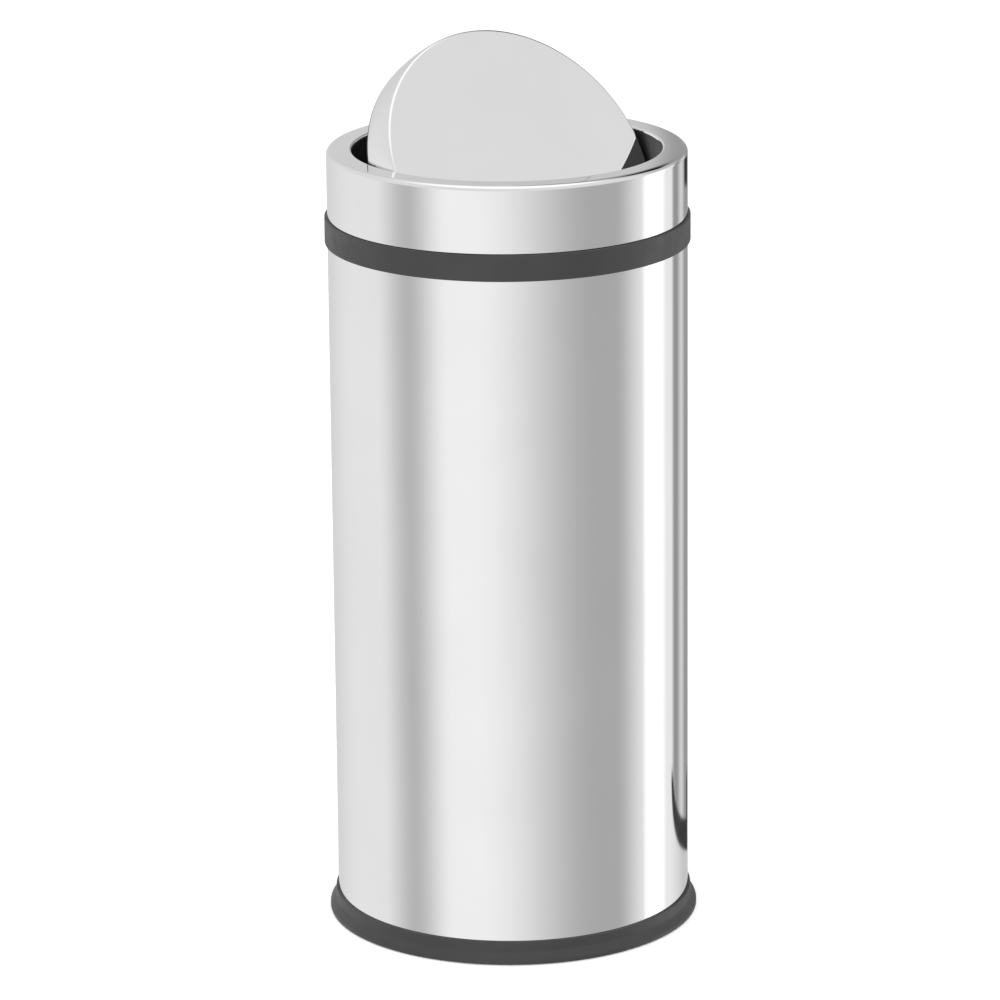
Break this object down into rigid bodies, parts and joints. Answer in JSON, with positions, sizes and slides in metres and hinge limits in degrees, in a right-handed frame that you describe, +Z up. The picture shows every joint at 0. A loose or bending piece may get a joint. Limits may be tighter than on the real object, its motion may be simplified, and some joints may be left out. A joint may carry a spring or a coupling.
{
  "type": "flip lid bin",
  "caption": "Tall round polished-steel waste bin with a lift-off lid ring, a weighted flip lid that swings both ways, dark collar and plinth, and an inner bucket with a bail.",
  "frame": {"origin": "middle of the base on the floor, at the bin's axis", "axes": "+Z up along the bin's axis, flap pivot axis along X, -Y is the front, where the open flap's edge dips in"},
  "size_m": [0.304, 0.304, 0.7279],
  "materials": {
    "polished_steel": "bright polished stainless sheet",
    "dark_plastic": "dark grey satin moulding",
    "black_plastic": "black moulded, fine texture",
    "rubber": "soft black rubber",
    "zinc_fasteners": "bright zinc plate",
    "nylon": "natural nylon",
    "cast_iron": "as cast, black lacquer",
    "galvanised_steel": "galvanised sheet with spangle",
    "zinc_wire": "zinc plated wire",
    "grip_plastic": "black moulded grip"
  },
  "bodies": {
    "body": {"body_shell": "polished_steel", "collar_band": "dark_plastic", "base_ring": "dark_plastic", "base_plate": "black_plastic", "base_screws": "zinc_fasteners", "floor_pads": "rubber"},
    "lid": {"lid_ring": "polished_steel", "lid_frame": "black_plastic", "lid_gasket": "rubber", "ring_brackets": "zinc_fasteners", "lid_screws": "zinc_fasteners", "pivot_pin_left": "zinc_fasteners", "pivot_pin_right": "zinc_fasteners", "pivot_nuts": "zinc_fasteners", "pivot_washers": "nylon"},
    "flap": {"flap_shell": "polished_steel", "flap_dome": "black_plastic", "counterweight": "cast_iron", "weight_screws": "zinc_fasteners", "pivot_bush_left": "nylon", "pivot_bush_right": "nylon"},
    "bucket": {"bucket_shell": "galvanised_steel", "bucket_bottom": "galvanised_steel", "bucket_ears": "galvanised_steel", "ear_rivets": "zinc_fasteners"},
    "bail": {"bail_wire": "zinc_wire", "bail_grip": "grip_plastic"}
  },
  "joints": [
    {"name": "lid_lift", "type": "slide", "parent": "body", "child": "lid", "axis": [0, 0, 1], "range_m": [0, 0.6]},
    {"name": "flap_swing", "type": "hinge", "parent": "lid", "child": "flap", "pos_m": [0, 0, 0.61584], "axis": [1, 0, 0], "range_deg": [-134.5, 25.5]},
    {"name": "bucket_lift", "type": "slide", "parent": "body", "child": "bucket", "axis": [0, 0, 1], "range_m": [0, 0.27]},
    {"name": "bail_swing", "type": "hinge", "parent": "bucket", "child": "bail", "pos_m": [0, 0, 0.552], "axis": [1, 0, 0], "range_deg": [0, 105]}
  ],
  "couplings": [
    {"joint": "bucket_lift", "follows": "lid_lift", "ratio": 0.45},
    {"joint": "bail_swing", "follows": "lid_lift", "rad_per_m": 3.0543}
  ]
}
